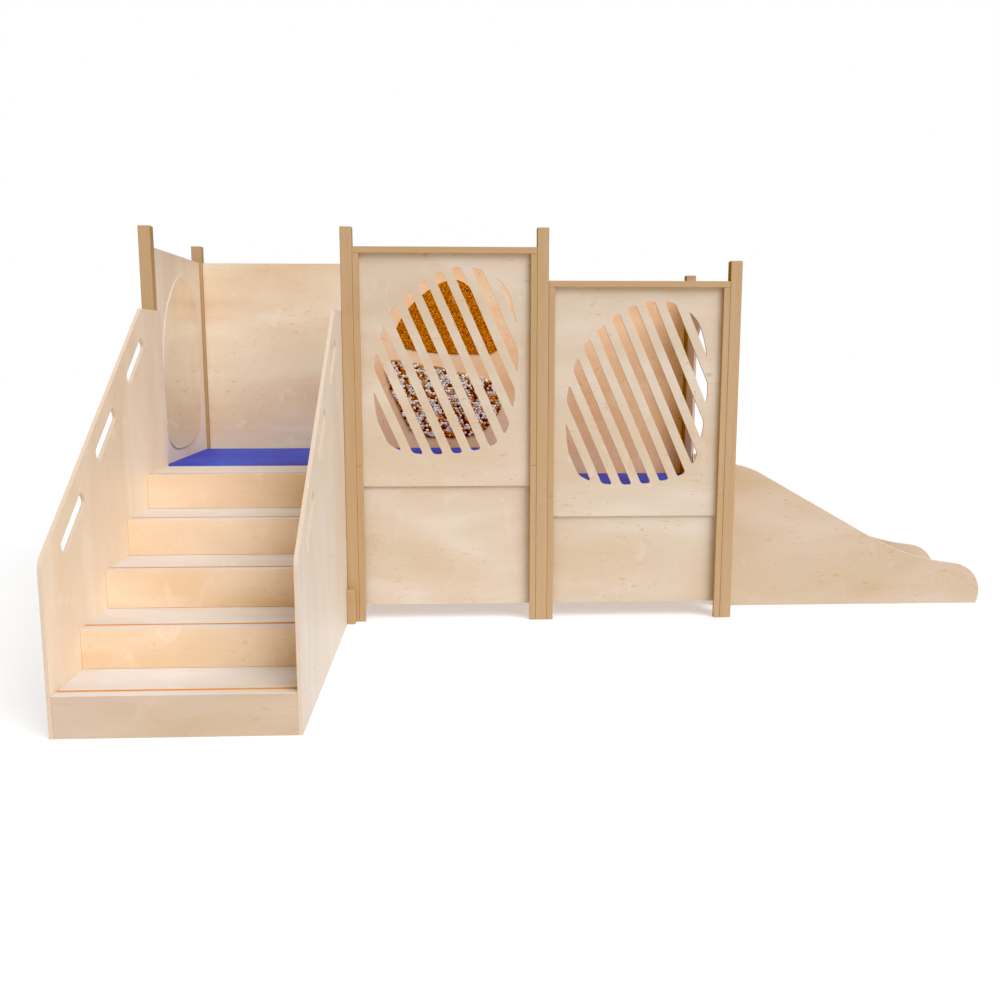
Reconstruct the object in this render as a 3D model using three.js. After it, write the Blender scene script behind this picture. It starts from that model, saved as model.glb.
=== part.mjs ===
// Toddler slide: a three-bay birch loft with steps at the first bay and a slide at the far end.
// Millimetres, +Z up. The origin is the bottom centre of the whole object.
// The loft is laid out from the centre line of the first front post (x), the front faces of the
// posts (y) and the floor (z), and the finished group is moved so that the origin is centred.
import * as THREE from 'three';

// ---- loft frame ----
const POST = 45;
const HALF_POST = POST / 2;
const BAY = 750;
const BAYS = 3;
const LOFT_DEPTH = BAY + POST;
const POST_TALL = 1537;
const POST_SHORT = 1416;
const TALL_POSTS = 3;
const EDGE_CHAMFER = 1.5;
const CLEAR = 0.4;
const PLY = 12;

// ---- wall modules: a rail over two battens, with plywood behind them ----
const BATTEN_WIDE = 24;
const BATTEN_DEEP = 20.6;
const PLY_SET_BACK = 21;
const WALL_TOP_HIGH = 1464;
const WALL_TOP_LOW = 1339;
const WALL_BOTTOM = 62;
const SEAM_BELOW_DECK = 82;

// ---- steps ----
const RISE = 125;
const GOING = 237;
const STEPS = 5;
const STAIR_FRONT = -1176;
const STAIR_SIDE_TOP = 1223;
const STAIR_SIDE_CORNER = 503;
const STAIR_SLOPE_END = -193;
const STAIR_SIDE_ROUND = 55;
const STAIR_TOP_ROUND = 35;
const TREAD = 24;
const GROOVE_SET_BACK = 34;
const GROOVE_WIDE = 14;
const GROOVE_DEEP = 4;
const GRIP_LONG = 226;
const GRIP_WIDE = 50;
const GRIP_CORNER = 15;
const GRIP_CENTRES = [[-934, 571], [-619, 807], [-286, 1037]];
const BLOCK_HIGH = 137;
const BLOCK_WIDE = 32;
const BLOCK_DEEP = 38;

// ---- decks and mats ----
const DECK_HIGH = STEPS * RISE;
const DECK_LOW = (STEPS - 1) * RISE;
const MAT = 30;
const MAT_PROUD = 3;
const BEARER_WIDE = 24;
const BEARER_HIGH = 58;

// ---- the rounded pebble outline shared by the mirror, both windows and the touch wall ----
const BLOB_POINTS = [
  [255, 0], [390, 14], [480, 46], [524, 108], [546, 210], [562, 390], [548, 550], [510, 650], [440, 703],
  [345, 722], [244, 696], [140, 625], [66, 545], [20, 430], [0, 290], [12, 134], [49, 46], [120, 10],
];
const BLOB_ABOVE_DECK = 44;
const BLOB_STEPS = 90;
const WINDOW_LEFT = 94;
const SLOTS = 10;
const SLOT_PITCH = 78.8;
const SLOT_WIDE = 40;
const SLOT_FIRST = 151.4;
const SLOT_LEVEL = 73;
const SLOT_LEAN = 0.444;
const SLOT_CORNER = 12;
const OUTLINE_SAMPLE = 3;
const OUTLINE_TOLERANCE = 0.5;
const MIRROR_FROM_FRONT = 117;
const MIRROR_THICK = 3.6;

// ---- touch wall in the middle bay ----
const CORK_THICK = 6;
const PEBBLE_TRAY_THICK = 10;
const CORK_POINTS = [
  [880, 1118], [930, 1086], [1090, 1063], [1265, 1058], [1345, 1066], [1366, 1112], [1322, 1204],
  [1264, 1308], [1222, 1368], [1160, 1396], [1082, 1372], [978, 1297], [908, 1208],
];
const PEBBLE_POINTS = [
  [835, 1000], [858, 1029], [997, 1013], [1089, 999], [1180, 974], [1274, 953], [1358, 912], [1382, 860],
  [1356, 780], [1300, 712], [1236, 680], [1130, 672], [1040, 674], [964, 694], [905, 790], [862, 893],
];
const TOUCH_OUTLINE_STEPS = 40;

// ---- slide ----
const SLIDE_NEAR = 187;
const SLIDE_FAR = LOFT_DEPTH - SLIDE_NEAR;
const SLIDE_TOP = 607.5;
const SLIDE_CREST = 2290;
const SLIDE_CREST_BEND = [2372, 604];
const SLIDE_SLOPE_START = [2440, 563.8];
const SLIDE_SLOPE_END = [2897, 304.6];
const SLIDE_TOE_BEND = [3067, 208];
const SLIDE_TOE_FLAT = [3237, 182.5];
const NOSE_CENTRE = [3277, 50];
const NOSE_RADIUS = 125;
const NOSE_TOP_ANGLE = 81.5;
const SIDE_ABOVE_BED = 106;
const SIDE_ABOVE_TOE = 104;
const BED_TOP_START = 500;
const BED_END = 3345;
const BED_END_TOP = 70;
const TOE_RAIL_WIDE = 24;
const TOE_RAIL_INSET = 12;
const TOE_RAIL_BELOW_BED = 4;
const CURVE_STEPS = 16;

// ---- doorway to the slide ----
const DOOR_HALF = 216;
const DOOR_SPRING = 1021;
const DOOR_SILL = 486;
const DOOR_ARC_STEPS = 24;

// ---- derived stations ----
const X_FIRST = -HALF_POST;
const X_LAST = BAYS * BAY + HALF_POST;
const Y_REAR_POST = LOFT_DEPTH - POST;
const SIDE_PLY_IN = HALF_POST - PLY;
const Y_BACK_PLY = LOFT_DEPTH - PLY_SET_BACK - PLY;
const NOSE_HALF_CHORD = Math.sqrt(NOSE_RADIUS ** 2 - NOSE_CENTRE[1] ** 2);
const X_NOSE = NOSE_CENTRE[0] + NOSE_RADIUS;
const ORIGIN_X = (X_FIRST + X_NOSE) / 2;
const ORIGIN_Y = (STAIR_FRONT + LOFT_DEPTH) / 2;

// ---- materials ----
function standard(color, roughness, metalness = 0) {
  return new THREE.MeshStandardMaterial({ color, roughness, metalness });
}
const LOOKS = {
  post_wood: () => standard(0xc8a47c, 0.55),
  birch_ply: () => standard(0xe2cdb4, 0.5),
  step_ply: () => standard(0xebcda8, 0.5),
  mat_vinyl: () => standard(0x2f3ea0, 0.55),
  mirror: () => standard(0xdfe3e6, 0.04, 1),
  cork: () => standard(0xb9742f, 0.9),
  pebbles: () => standard(0xb7aea4, 0.7),
};

const part = new THREE.Group();
part.name = 'toddler_slide';

function addMesh(name, geometry, look) {
  geometry.translate(-ORIGIN_X, -ORIGIN_Y, 0);
  const mesh = new THREE.Mesh(geometry, LOOKS[look]());
  mesh.name = name;
  part.add(mesh);
}

// A shape drawn in (x, z) becomes a board facing the front, from yFront backwards.
function boardFacingFront(shape, yFront, thick, curveSegments = CURVE_STEPS) {
  const geometry = new THREE.ExtrudeGeometry(shape, { depth: thick, bevelEnabled: false, curveSegments });
  geometry.rotateX(Math.PI / 2);
  geometry.translate(0, yFront + thick, 0);
  return geometry;
}

// A shape drawn in (y, z) becomes a board facing sideways, from xLeft to the right.
function boardFacingSide(shape, xLeft, thick, curveSegments = CURVE_STEPS) {
  const geometry = new THREE.ExtrudeGeometry(shape, { depth: thick, bevelEnabled: false, curveSegments });
  const turn = new THREE.Matrix4().makeBasis(
    new THREE.Vector3(0, 1, 0),
    new THREE.Vector3(0, 0, 1),
    new THREE.Vector3(1, 0, 0),
  );
  geometry.applyMatrix4(turn);
  geometry.translate(xLeft, 0, 0);
  return geometry;
}

function rectangle(a0, a1, b0, b1) {
  const shape = new THREE.Shape();
  shape.moveTo(a0, b0);
  shape.lineTo(a1, b0);
  shape.lineTo(a1, b1);
  shape.lineTo(a0, b1);
  shape.closePath();
  return shape;
}

function chamferedRectangle(a0, a1, b0, b1, c) {
  const shape = new THREE.Shape();
  shape.moveTo(a0 + c, b0);
  shape.lineTo(a1 - c, b0);
  shape.lineTo(a1, b0 + c);
  shape.lineTo(a1, b1 - c);
  shape.lineTo(a1 - c, b1);
  shape.lineTo(a0 + c, b1);
  shape.lineTo(a0, b1 - c);
  shape.lineTo(a0, b0 + c);
  shape.closePath();
  return shape;
}

// A sawn member with chamfered long edges, running along the named axis.
function timber(name, along, [x0, x1], [y0, y1], [z0, z1], look = 'post_wood') {
  if (along === 'z') {
    const section = chamferedRectangle(x0, x1, y0, y1, EDGE_CHAMFER);
    const geometry = new THREE.ExtrudeGeometry(section, { depth: z1 - z0, bevelEnabled: false });
    geometry.translate(0, 0, z0);
    addMesh(name, geometry, look);
  } else if (along === 'x') {
    addMesh(name, boardFacingSide(chamferedRectangle(y0, y1, z0, z1, EDGE_CHAMFER), x0, x1 - x0), look);
  } else {
    addMesh(name, boardFacingFront(chamferedRectangle(x0, x1, z0, z1, EDGE_CHAMFER), y0, y1 - y0), look);
  }
}

// Closed polygon whose listed corners [u, v, radius] are rounded where the radius is not zero.
function roundedPolygon(corners) {
  const shape = new THREE.Shape();
  corners.forEach(([u, v, radius], i) => {
    const before = corners[(i + corners.length - 1) % corners.length];
    const after = corners[(i + 1) % corners.length];
    const toBefore = new THREE.Vector2(before[0] - u, before[1] - v).normalize();
    const toAfter = new THREE.Vector2(after[0] - u, after[1] - v).normalize();
    const halfAngle = Math.acos(toBefore.dot(toAfter)) / 2;
    const reach = radius / Math.tan(halfAngle);
    const entry = [u + toBefore.x * reach, v + toBefore.y * reach];
    if (i === 0) {
      shape.moveTo(...entry);
    } else {
      shape.lineTo(...entry);
    }
    if (radius > 0) {
      shape.quadraticCurveTo(u, v, u + toAfter.x * reach, v + toAfter.y * reach);
    }
  });
  shape.closePath();
  return shape;
}

function smoothLoop(points, steps) {
  const knots = points.map(([u, v]) => new THREE.Vector3(u, v, 0));
  const curve = new THREE.CatmullRomCurve3(knots, true, 'centripetal');
  return curve.getSpacedPoints(steps).slice(0, steps).map((p) => new THREE.Vector2(p.x, p.y));
}

function loopShape(loop) {
  const shape = new THREE.Shape();
  shape.setFromPoints(loop);
  return shape;
}

function blobLoop(u0, v0) {
  return smoothLoop(BLOB_POINTS, BLOB_STEPS).map((p) => new THREE.Vector2(p.x + u0, p.y + v0));
}

// ---- slot outlines: leaning stripes cut off by the pebble outline, with softened corners ----
function keepSide(loop, signedDistance) {
  const kept = [];
  loop.forEach((p, i) => {
    const q = loop[(i + 1) % loop.length];
    const dp = signedDistance(p);
    const dq = signedDistance(q);
    if (dp >= 0) {
      kept.push(p);
    }
    if (dp * dq < 0) {
      kept.push(p.clone().lerp(q, dp / (dp - dq)));
    }
  });
  return kept;
}

function resample(loop, spacing) {
  const path = [];
  loop.forEach((p, i) => {
    const q = loop[(i + 1) % loop.length];
    const count = Math.max(1, Math.round(p.distanceTo(q) / spacing));
    for (let k = 0; k < count; k += 1) {
      path.push(p.clone().lerp(q, k / count));
    }
  });
  return path;
}

function soften(loop, reach) {
  const path = resample(loop, OUTLINE_SAMPLE);
  const half = Math.round(reach / OUTLINE_SAMPLE);
  return path.map((_, i) => {
    const sum = new THREE.Vector2();
    for (let k = -half; k <= half; k += 1) {
      sum.add(path[(i + k + path.length) % path.length]);
    }
    return sum.divideScalar(2 * half + 1);
  });
}

function thinOut(points, tolerance) {
  const first = points[0];
  const last = points[points.length - 1];
  const chord = last.clone().sub(first);
  let worst = 0;
  let at = 0;
  points.forEach((p, i) => {
    const offset = p.clone().sub(first);
    const away = Math.abs(chord.cross(offset)) / (chord.length() || 1);
    if (away > worst) {
      worst = away;
      at = i;
    }
  });
  if (worst <= tolerance) {
    return [first, last];
  }
  return [...thinOut(points.slice(0, at + 1), tolerance).slice(0, -1), ...thinOut(points.slice(at), tolerance)];
}

function thinLoop(loop, tolerance) {
  const half = Math.floor(loop.length / 2);
  const outward = thinOut(loop.slice(0, half + 1), tolerance);
  const back = thinOut([...loop.slice(half), loop[0]], tolerance);
  return [...outward.slice(0, -1), ...back.slice(0, -1)];
}

function slotLoops(xBayStart, deck) {
  const v0 = deck + BLOB_ABOVE_DECK;
  const blob = blobLoop(xBayStart + WINDOW_LEFT, v0);
  const loops = [];
  for (let k = 0; k < SLOTS; k += 1) {
    const start = xBayStart + SLOT_FIRST + k * SLOT_PITCH;
    const leftEdge = (p) => p.x - start + SLOT_LEAN * (p.y - deck - SLOT_LEVEL);
    const stripe = keepSide(keepSide(blob, leftEdge), (p) => SLOT_WIDE - leftEdge(p));
    loops.push(thinLoop(soften(stripe, SLOT_CORNER), OUTLINE_TOLERANCE));
  }
  return loops;
}

// ---- posts: tall ones at the first three stations, short ones at the slide end ----
for (let i = 0; i <= BAYS; i += 1) {
  const x = i * BAY;
  const top = i < TALL_POSTS ? POST_TALL : POST_SHORT;
  timber(`post_front_${i + 1}`, 'z', [x - HALF_POST, x + HALF_POST], [0, POST], [0, top]);
  timber(`post_rear_${i + 1}`, 'z', [x - HALF_POST, x + HALF_POST], [Y_REAR_POST, LOFT_DEPTH], [0, top]);
}

// ---- front and rear walls of each bay ----
for (let bay = 1; bay <= BAYS; bay += 1) {
  const x0 = (bay - 1) * BAY + HALF_POST + CLEAR;
  const x1 = bay * BAY - HALF_POST - CLEAR;
  const deck = bay < BAYS ? DECK_HIGH : DECK_LOW;
  const top = bay < BAYS ? WALL_TOP_HIGH : WALL_TOP_LOW;
  const railBottom = top - BATTEN_WIDE;
  const rearRail = [LOFT_DEPTH - BATTEN_DEEP, LOFT_DEPTH];
  timber(`rear_rail_${bay}`, 'x', [x0, x1], rearRail, [railBottom, top]);
  timber(`rear_batten_${bay}_left`, 'z', [x0, x0 + BATTEN_WIDE], rearRail, [0, railBottom - CLEAR]);
  timber(`rear_batten_${bay}_right`, 'z', [x1 - BATTEN_WIDE, x1], rearRail, [0, railBottom - CLEAR]);
  const sheet = rectangle(x0, x1, WALL_BOTTOM, top);
  addMesh(`rear_wall_${bay}`, boardFacingFront(sheet, Y_BACK_PLY, PLY), 'birch_ply');
  if (bay > 1) {
    const seam = deck - SEAM_BELOW_DECK;
    timber(`front_rail_${bay}`, 'x', [x0, x1], [0, BATTEN_DEEP], [railBottom, top]);
    const frontRail = [0, BATTEN_DEEP];
    const battenZ = [0, railBottom - CLEAR];
    timber(`front_batten_${bay}_left`, 'z', [x0, x0 + BATTEN_WIDE], frontRail, battenZ);
    timber(`front_batten_${bay}_right`, 'z', [x1 - BATTEN_WIDE, x1], frontRail, battenZ);
    const window = rectangle(x0, x1, seam, top);
    window.holes.push(...slotLoops((bay - 1) * BAY, deck).map((loop) => new THREE.Path(loop)));
    addMesh(`window_panel_${bay}`, boardFacingFront(window, PLY_SET_BACK, PLY), 'birch_ply');
    const lower = rectangle(x0, x1, WALL_BOTTOM, seam - CLEAR);
    addMesh(`lower_panel_${bay}`, boardFacingFront(lower, PLY_SET_BACK + PLY, PLY - CLEAR), 'birch_ply');
  }
}

// ---- left end wall with its mirror ----
const wallY = [POST + CLEAR, Y_REAR_POST - CLEAR];
const endBattens = [[wallY[0], wallY[0] + BATTEN_WIDE], [wallY[1] - BATTEN_WIDE, wallY[1]]];
const leftRail = [X_FIRST, X_FIRST + BATTEN_DEEP];
timber('left_rail', 'y', leftRail, wallY, [WALL_TOP_HIGH - BATTEN_WIDE, WALL_TOP_HIGH]);
timber('left_batten_front', 'z', leftRail, endBattens[0], [0, WALL_TOP_HIGH - BATTEN_WIDE - CLEAR]);
timber('left_batten_rear', 'z', leftRail, endBattens[1], [0, WALL_TOP_HIGH - BATTEN_WIDE - CLEAR]);
const leftWall = rectangle(wallY[0], wallY[1], WALL_BOTTOM, WALL_TOP_HIGH);
addMesh('left_wall', boardFacingSide(leftWall, SIDE_PLY_IN - PLY, PLY), 'birch_ply');
const mirrorShape = loopShape(blobLoop(MIRROR_FROM_FRONT, DECK_HIGH + BLOB_ABOVE_DECK));
addMesh('wall_mirror', boardFacingSide(mirrorShape, SIDE_PLY_IN + CLEAR, MIRROR_THICK), 'mirror');

// ---- right end wall with the arched doorway to the slide ----
const rightRail = [X_LAST - BATTEN_DEEP, X_LAST];
timber('right_rail', 'y', rightRail, wallY, [WALL_TOP_LOW - BATTEN_WIDE, WALL_TOP_LOW]);
timber('right_batten_front', 'z', rightRail, endBattens[0], [0, WALL_TOP_LOW - BATTEN_WIDE - CLEAR]);
timber('right_batten_rear', 'z', rightRail, endBattens[1], [0, WALL_TOP_LOW - BATTEN_WIDE - CLEAR]);
const rightWall = rectangle(wallY[0], wallY[1], WALL_BOTTOM, WALL_TOP_LOW);
const doorMiddle = LOFT_DEPTH / 2;
const doorway = new THREE.Path();
doorway.moveTo(doorMiddle - DOOR_HALF, DOOR_SILL);
doorway.lineTo(doorMiddle + DOOR_HALF, DOOR_SILL);
doorway.absarc(doorMiddle, DOOR_SPRING, DOOR_HALF, 0, Math.PI, false);
rightWall.holes.push(doorway);
const xDoorWall = BAYS * BAY - SIDE_PLY_IN;
addMesh('doorway_wall', boardFacingSide(rightWall, xDoorWall, PLY, DOOR_ARC_STEPS), 'birch_ply');

// ---- decks: plywood on a front and a rear bearer, one body each ----
// The section runs from front to back, so plate and bearers are one outline.
function deckSection(top) {
  const under = top - PLY;
  const foot = under - BEARER_HIGH;
  const y0 = POST + CLEAR;
  const y1 = Y_REAR_POST - CLEAR;
  const outline = [
    [y0, foot], [y0 + BEARER_WIDE, foot], [y0 + BEARER_WIDE, under], [y1 - BEARER_WIDE, under],
    [y1 - BEARER_WIDE, foot], [y1, foot], [y1, top], [y0, top],
  ];
  return loopShape(outline.map(([u, v]) => new THREE.Vector2(u, v)));
}
const xDeckStart = SIDE_PLY_IN + CLEAR;
const xDeckStep = (BAYS - 1) * BAY;
const matTop = (deck) => deck + MAT_PROUD;
const plateTop = (deck) => matTop(deck) - MAT - CLEAR;
const highLength = xDeckStep - CLEAR - xDeckStart;
addMesh('deck_high', boardFacingSide(deckSection(plateTop(DECK_HIGH)), xDeckStart, highLength), 'birch_ply');
const lowLength = xDoorWall - CLEAR - xDeckStep;
addMesh('deck_low', boardFacingSide(deckSection(plateTop(DECK_LOW)), xDeckStep, lowLength), 'birch_ply');
const stepBoardZ = [plateTop(DECK_LOW) + CLEAR, matTop(DECK_HIGH)];
timber('deck_step_board', 'y', [xDeckStep, xDeckStep + PLY], wallY, stepBoardZ, 'birch_ply');

function mat(name, x0, x1, deck) {
  timber(name, 'x', [x0, x1], wallY, [matTop(deck) - MAT, matTop(deck)], 'mat_vinyl');
}
mat('mat_1', xDeckStart, BAY - CLEAR / 2, DECK_HIGH);
mat('mat_2', BAY + CLEAR / 2, xDeckStep - CLEAR, DECK_HIGH);
mat('mat_3', xDeckStep + PLY + CLEAR, xDoorWall - CLEAR, DECK_LOW);

// ---- touch wall: a cork pad over a tray of pebbles ----
const corkShape = loopShape(smoothLoop(CORK_POINTS, TOUCH_OUTLINE_STEPS));
addMesh('cork_pad', boardFacingFront(corkShape, Y_BACK_PLY - CLEAR - CORK_THICK, CORK_THICK), 'cork');
const pebbleShape = loopShape(smoothLoop(PEBBLE_POINTS, TOUCH_OUTLINE_STEPS));
const pebbleFront = Y_BACK_PLY - CLEAR - PEBBLE_TRAY_THICK;
addMesh('pebble_tray', boardFacingFront(pebbleShape, pebbleFront, PEBBLE_TRAY_THICK), 'pebbles');

// ---- steps ----
const stairInner = [HALF_POST + CLEAR + PLY, BAY - HALF_POST - CLEAR - PLY];
function stairSide(name, xLeft) {
  const side = roundedPolygon([
    [STAIR_FRONT, 0, 0],
    [POST, 0, 0],
    [POST, STAIR_SIDE_TOP, STAIR_TOP_ROUND],
    [STAIR_SLOPE_END, STAIR_SIDE_TOP, STAIR_TOP_ROUND],
    [STAIR_FRONT, STAIR_SIDE_CORNER, STAIR_SIDE_ROUND],
  ]);
  const slope = Math.atan2(STAIR_SIDE_TOP - STAIR_SIDE_CORNER, STAIR_SLOPE_END - STAIR_FRONT);
  const along = GRIP_LONG / 2 - GRIP_CORNER;
  const across = GRIP_WIDE / 2 - GRIP_CORNER;
  GRIP_CENTRES.forEach(([y, z]) => {
    const grip = new THREE.Path();
    [[1, -1], [1, 1], [-1, 1], [-1, -1]].forEach(([end, edge], i) => {
      const cornerY = y + end * along * Math.cos(slope) - edge * across * Math.sin(slope);
      const cornerZ = z + end * along * Math.sin(slope) + edge * across * Math.cos(slope);
      const turn = slope + (i - 1) * Math.PI / 2;
      grip.absarc(cornerY, cornerZ, GRIP_CORNER, turn, turn + Math.PI / 2, false);
    });
    side.holes.push(grip);
  });
  addMesh(name, boardFacingSide(side, xLeft, PLY), 'birch_ply');
}
stairSide('stair_side_left', stairInner[0] - PLY);
stairSide('stair_side_right', stairInner[1]);

for (let i = 0; i < STEPS; i += 1) {
  const front = STAIR_FRONT + i * GOING;
  const foot = i === 0 ? 0 : i * RISE + CLEAR;
  const top = (i + 1) * RISE;
  const back = i === STEPS - 1 ? POST : front + GOING + TREAD;
  const grooveStart = front + GROOVE_SET_BACK;
  const outline = [
    [front, foot], [front + PLY, foot], [front + PLY, top - TREAD], [back, top - TREAD], [back, top],
    [grooveStart + GROOVE_WIDE, top], [grooveStart + GROOVE_WIDE, top - GROOVE_DEEP],
    [grooveStart, top - GROOVE_DEEP], [grooveStart, top],
    [front + EDGE_CHAMFER, top], [front, top - EDGE_CHAMFER],
  ];
  const shape = loopShape(outline.map(([u, v]) => new THREE.Vector2(u, v)));
  const wide = stairInner[1] - stairInner[0] - 2 * CLEAR;
  addMesh(`step_${i + 1}`, boardFacingSide(shape, stairInner[0] + CLEAR, wide), 'step_ply');
}

const blockY = [-CLEAR - BLOCK_DEEP, -CLEAR];
const rightBlockX = BAY - HALF_POST;
timber('fixing_block_right', 'z', [rightBlockX, rightBlockX + BLOCK_WIDE], blockY, [0, BLOCK_HIGH]);
timber('fixing_block_left', 'z', [HALF_POST - BLOCK_WIDE, HALF_POST], blockY, [0, BLOCK_HIGH]);

// ---- slide ----
const xSlideStart = xDoorWall + PLY + CLEAR;
function slideSide() {
  const shape = new THREE.Shape();
  const topAngle = THREE.MathUtils.degToRad(NOSE_TOP_ANGLE);
  const footAngle = -Math.asin(NOSE_CENTRE[1] / NOSE_RADIUS);
  shape.moveTo(xSlideStart, 0);
  shape.lineTo(NOSE_CENTRE[0] + NOSE_HALF_CHORD, 0);
  shape.absarc(NOSE_CENTRE[0], NOSE_CENTRE[1], NOSE_RADIUS, footAngle, topAngle, false);
  shape.lineTo(...SLIDE_TOE_FLAT);
  shape.quadraticCurveTo(...SLIDE_TOE_BEND, ...SLIDE_SLOPE_END);
  shape.lineTo(...SLIDE_SLOPE_START);
  shape.quadraticCurveTo(...SLIDE_CREST_BEND, SLIDE_CREST, SLIDE_TOP);
  shape.lineTo(xSlideStart, SLIDE_TOP);
  shape.closePath();
  return shape;
}
addMesh('slide_side_near', boardFacingFront(slideSide(), SLIDE_NEAR, PLY), 'birch_ply');
addMesh('slide_side_far', boardFacingFront(slideSide(), SLIDE_FAR - PLY, PLY), 'birch_ply');

// The bed keeps one thickness: its underside is its top line moved square to itself.
function slideBed() {
  const path = new THREE.CurvePath();
  const at = ([x, z], drop = SIDE_ABOVE_BED) => new THREE.Vector2(x, z - drop);
  const start = new THREE.Vector2(xDoorWall + CLEAR, BED_TOP_START);
  const crest = new THREE.Vector2(SLIDE_CREST, BED_TOP_START);
  const slopeStart = at(SLIDE_SLOPE_START);
  const slopeEnd = at(SLIDE_SLOPE_END);
  const toe = at(SLIDE_TOE_FLAT, SIDE_ABOVE_TOE);
  const end = new THREE.Vector2(BED_END, BED_END_TOP);
  const crestBend = new THREE.Vector2(SLIDE_CREST_BEND[0], BED_TOP_START);
  path.add(new THREE.LineCurve(start, crest));
  path.add(new THREE.QuadraticBezierCurve(crest, crestBend, slopeStart));
  path.add(new THREE.LineCurve(slopeStart, slopeEnd));
  path.add(new THREE.QuadraticBezierCurve(slopeEnd, at(SLIDE_TOE_BEND), toe));
  path.add(new THREE.LineCurve(toe, end));
  const top = path.getPoints(CURVE_STEPS);
  const under = top.map((p, i) => {
    const before = top[Math.max(0, i - 1)];
    const after = top[Math.min(top.length - 1, i + 1)];
    const run = after.clone().sub(before).normalize();
    return new THREE.Vector2(p.x + run.y * PLY, p.y - run.x * PLY);
  });
  return loopShape([...top, ...under.reverse()]);
}
const bedY = [SLIDE_NEAR + PLY + CLEAR, SLIDE_FAR - PLY - CLEAR];
addMesh('slide_bed', boardFacingFront(slideBed(), bedY[0], bedY[1] - bedY[0]), 'birch_ply');
const railX = [BED_END - TOE_RAIL_INSET - TOE_RAIL_WIDE, BED_END - TOE_RAIL_INSET];
const railTop = BED_END_TOP - PLY - TOE_RAIL_BELOW_BED;
timber('slide_toe_rail', 'y', railX, bedY, [0, railTop]);

export default part;
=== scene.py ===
"""Toddler slide: the looks of a three-bay birch play loft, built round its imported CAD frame.

Every length is in metres, in the frame of the CAD: +X from the steps towards the slide's toe,
+Y from the steps to the back wall, +Z up.
"""

import math
import random

import bmesh
import bpy
from mathutils import Matrix, Vector, noise


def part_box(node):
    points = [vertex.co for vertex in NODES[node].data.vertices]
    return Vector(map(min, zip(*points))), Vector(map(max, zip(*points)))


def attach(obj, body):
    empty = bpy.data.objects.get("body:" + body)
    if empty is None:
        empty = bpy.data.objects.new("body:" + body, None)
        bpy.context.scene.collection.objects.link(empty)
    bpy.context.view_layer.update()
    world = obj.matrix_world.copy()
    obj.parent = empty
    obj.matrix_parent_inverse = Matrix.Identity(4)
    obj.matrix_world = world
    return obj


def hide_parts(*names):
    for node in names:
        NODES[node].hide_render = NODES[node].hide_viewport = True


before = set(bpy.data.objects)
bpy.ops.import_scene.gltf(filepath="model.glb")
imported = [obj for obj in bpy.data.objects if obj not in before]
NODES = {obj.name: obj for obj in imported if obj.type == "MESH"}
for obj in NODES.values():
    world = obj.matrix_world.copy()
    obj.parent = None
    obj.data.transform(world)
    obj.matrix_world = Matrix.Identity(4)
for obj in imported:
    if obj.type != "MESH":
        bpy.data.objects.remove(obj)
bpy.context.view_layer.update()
X, Y, Z = 0, 1, 2
MM = 0.001

# ---------------------------------------------------------------- camera
CAMERA_PLACE = (-0.52345, -3.6514, 1.0718)
CAMERA_TURN = 0.0437
CAMERA_DIP = 0.1503
CAMERA_LENS = 35.41

camera_data = bpy.data.cameras.new("camera")
camera_data.lens = CAMERA_LENS
camera_data.sensor_width = 36.0
camera_data.clip_end = 60.0
camera = bpy.data.objects.new("camera", camera_data)
camera.location = CAMERA_PLACE
camera.rotation_euler = (math.pi / 2 - CAMERA_DIP, 0.0, -CAMERA_TURN)
bpy.context.scene.collection.objects.link(camera)
bpy.context.scene.camera = camera


# ---------------------------------------------------------------- node helpers
def srgb(r, g, b):
    """An 0-255 display colour as a linear RGBA tuple."""
    def linear(c):
        c /= 255.0
        return c / 12.92 if c <= 0.04045 else ((c + 0.055) / 1.055) ** 2.4
    return (linear(r), linear(g), linear(b), 1.0)


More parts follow.
